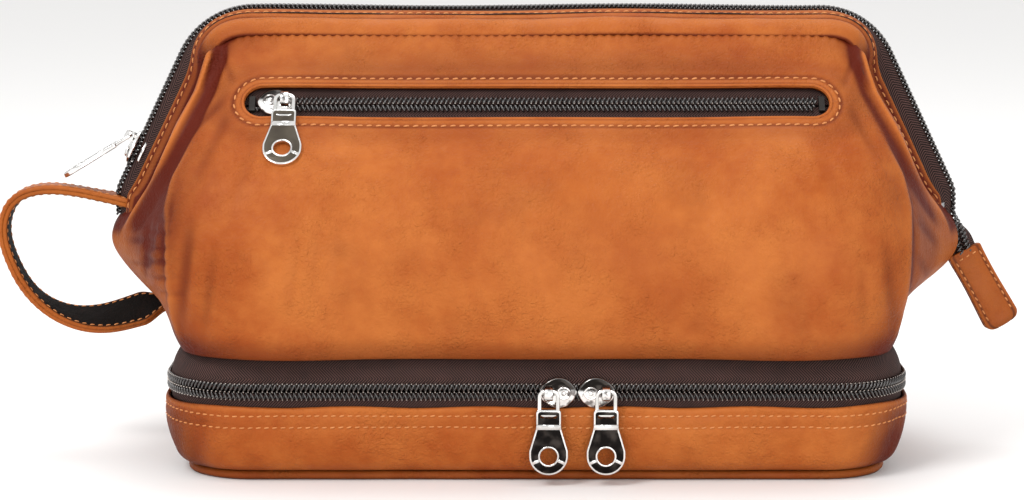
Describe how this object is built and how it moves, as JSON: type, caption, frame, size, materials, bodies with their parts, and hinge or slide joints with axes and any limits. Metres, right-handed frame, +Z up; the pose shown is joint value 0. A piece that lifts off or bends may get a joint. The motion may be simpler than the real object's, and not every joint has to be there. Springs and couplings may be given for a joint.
{
  "type": "toiletry bag",
  "caption": "Leather toiletry bag with a zipped framed mouth, a zipped front pocket, a carrying strap and a zipped bottom compartment that the body tips back from.",
  "frame": {"origin": "on the ground, under the middle of the base's bottom panel", "axes": "+Z up, -Y towards the front with the pocket, +X along the bag towards the end of the mouth zip"},
  "size_m": [0.3682, 0.136, 0.163],
  "materials": {
    "bag_leather": "waxed tan with darker folds",
    "strap_leather": "waxed tan, two plies",
    "welt_leather": "dark edge",
    "lining_cloth": "plain woven",
    "zip_tape": "dark brown herringbone",
    "zip_teeth": "moulded nylon coil",
    "stiffener_board": "grey-brown board",
    "frame_steel": "spring strip",
    "small_fittings": "blackened",
    "plated_metal": "polished dark nickel"
  },
  "bodies": {
    "base": {"base_bottom_panel": "bag_leather", "base_bottom_welt": "welt_leather", "base_wall": "bag_leather", "base_board": "stiffener_board", "base_lining": "lining_cloth", "base_lower_tape": "zip_tape", "base_lower_coil": "zip_teeth", "base_zip_stops": "small_fittings"},
    "upper_body": {"divider_underside": "lining_cloth", "divider_board": "stiffener_board", "divider_floor_lining": "lining_cloth", "base_upper_tape": "zip_tape", "base_upper_coil": "zip_teeth", "rear_hinge_strip": "bag_leather", "front_panel": "bag_leather", "back_panel": "bag_leather", "front_lining": "lining_cloth", "back_lining": "lining_cloth", "frame_rivets": "small_fittings"},
    "front_frame": {"front_frame_sleeve": "bag_leather", "front_frame_strip": "frame_steel", "mouth_front_tape": "zip_tape", "mouth_front_coil": "zip_teeth", "pocket_upper_tape": "zip_tape", "pocket_lower_tape": "zip_tape", "pocket_upper_coil": "zip_teeth", "pocket_lower_coil": "zip_teeth", "pocket_zip_stops": "small_fittings", "pocket_bag": "lining_cloth"},
    "rear_frame": {"rear_frame_sleeve": "bag_leather", "rear_frame_strip": "frame_steel", "mouth_rear_tape": "zip_tape", "mouth_rear_coil": "zip_teeth"},
    "handle": {"strap_outer_ply": "strap_leather", "strap_inner_ply": "strap_leather"},
    "zip_tail": {"tail_tape": "zip_tape", "tail_coil": "zip_teeth", "zip_end_tab": "bag_leather"},
    "base_left_slider": {"base_left_slider": "plated_metal"},
    "base_left_link": {"base_left_link": "plated_metal"},
    "base_left_puller": {"base_left_puller": "plated_metal"},
    "base_right_slider": {"base_right_slider": "plated_metal"},
    "base_right_link": {"base_right_link": "plated_metal"},
    "base_right_puller": {"base_right_puller": "plated_metal"},
    "pocket_slider": {"pocket_slider": "plated_metal"},
    "pocket_link": {"pocket_link": "plated_metal"},
    "pocket_puller": {"pocket_puller": "plated_metal"},
    "mouth_slider": {"mouth_slider": "plated_metal"},
    "mouth_link": {"mouth_link": "plated_metal"},
    "mouth_puller": {"mouth_puller": "plated_metal"}
  },
  "joints": [
    {"name": "lid_hinge", "type": "hinge", "parent": "base", "child": "upper_body", "pos_m": [0, 0.0585, 0.0326], "axis": [-1, 0, 0], "range_deg": [0, 90], "deforming": ["rear_hinge_strip"]},
    {"name": "front_frame_hinge", "type": "hinge", "parent": "upper_body", "child": "front_frame", "pos_m": [0, 0, 0.088], "axis": [1, 0, 0], "range_deg": [0, 30], "deforming": ["front_panel", "front_lining"]},
    {"name": "rear_frame_hinge", "type": "hinge", "parent": "upper_body", "child": "rear_frame", "pos_m": [0, 0, 0.088], "axis": [-1, 0, 0], "range_deg": [0, 30], "deforming": ["back_panel", "back_lining"]},
    {"name": "handle_swing", "type": "hinge", "parent": "upper_body", "child": "handle", "pos_m": [-0.15656, 0, 0.0823], "axis": [-0.4373, 0, 0.8993], "range_deg": [-50, 50]},
    {"name": "zip_tail_swing", "type": "hinge", "parent": "upper_body", "child": "zip_tail", "pos_m": [0.1498, 0, 0.0888], "axis": [0, -1, 0], "range_deg": [0, 45]},
    {"name": "base_left_slide", "type": "slide", "parent": "base", "child": "base_left_slider", "axis": [-1, 0, 0], "range_m": [0, 0.094]},
    {"name": "base_left_link_swing", "type": "hinge", "parent": "base_left_slider", "child": "base_left_link", "pos_m": [0.0039, -0.0647, 0.0326], "axis": [-1, 0, 0], "range_deg": [0, 90]},
    {"name": "base_left_puller_swing", "type": "hinge", "parent": "base_left_link", "child": "base_left_puller", "pos_m": [0.0039, -0.0647, 0.0262], "axis": [-1, 0, 0], "range_deg": [0, 70]},
    {"name": "base_right_slide", "type": "slide", "parent": "base", "child": "base_right_slider", "axis": [1, 0, 0], "range_m": [0, 0.07]},
    {"name": "base_right_link_swing", "type": "hinge", "parent": "base_right_slider", "child": "base_right_link", "pos_m": [0.0237, -0.0647, 0.0326], "axis": [-1, 0, 0], "range_deg": [0, 90]},
    {"name": "base_right_puller_swing", "type": "hinge", "parent": "base_right_link", "child": "base_right_puller", "pos_m": [0.0237, -0.0647, 0.0262], "axis": [-1, 0, 0], "range_deg": [0, 70]},
    {"name": "pocket_slide", "type": "slide", "parent": "front_frame", "child": "pocket_slider", "axis": [1, 0, 0], "range_m": [0, 0.18]},
    {"name": "pocket_link_swing", "type": "hinge", "parent": "pocket_slider", "child": "pocket_link", "pos_m": [-0.0877, -0.03991, 0.13262], "axis": [-1, 0, 0], "range_deg": [0, 100]},
    {"name": "pocket_puller_swing", "type": "hinge", "parent": "pocket_link", "child": "pocket_puller", "pos_m": [-0.0877, -0.04404, 0.12773], "axis": [-1, 0, 0], "range_deg": [0, 70]},
    {"name": "mouth_slide", "type": "slide", "parent": "front_frame", "child": "mouth_slider", "axis": [0.4337, 0, 0.9011], "range_m": [0, 0.031]},
    {"name": "mouth_link_swing", "type": "hinge", "parent": "mouth_slider", "child": "mouth_link", "pos_m": [-0.14715, 0, 0.11553], "axis": [0, 1, 0], "range_deg": [0, 100]},
    {"name": "mouth_puller_swing", "type": "hinge", "parent": "mouth_link", "child": "mouth_puller", "pos_m": [-0.15262, 0, 0.11221], "axis": [0, 1, 0], "range_deg": [0, 60]}
  ]
}
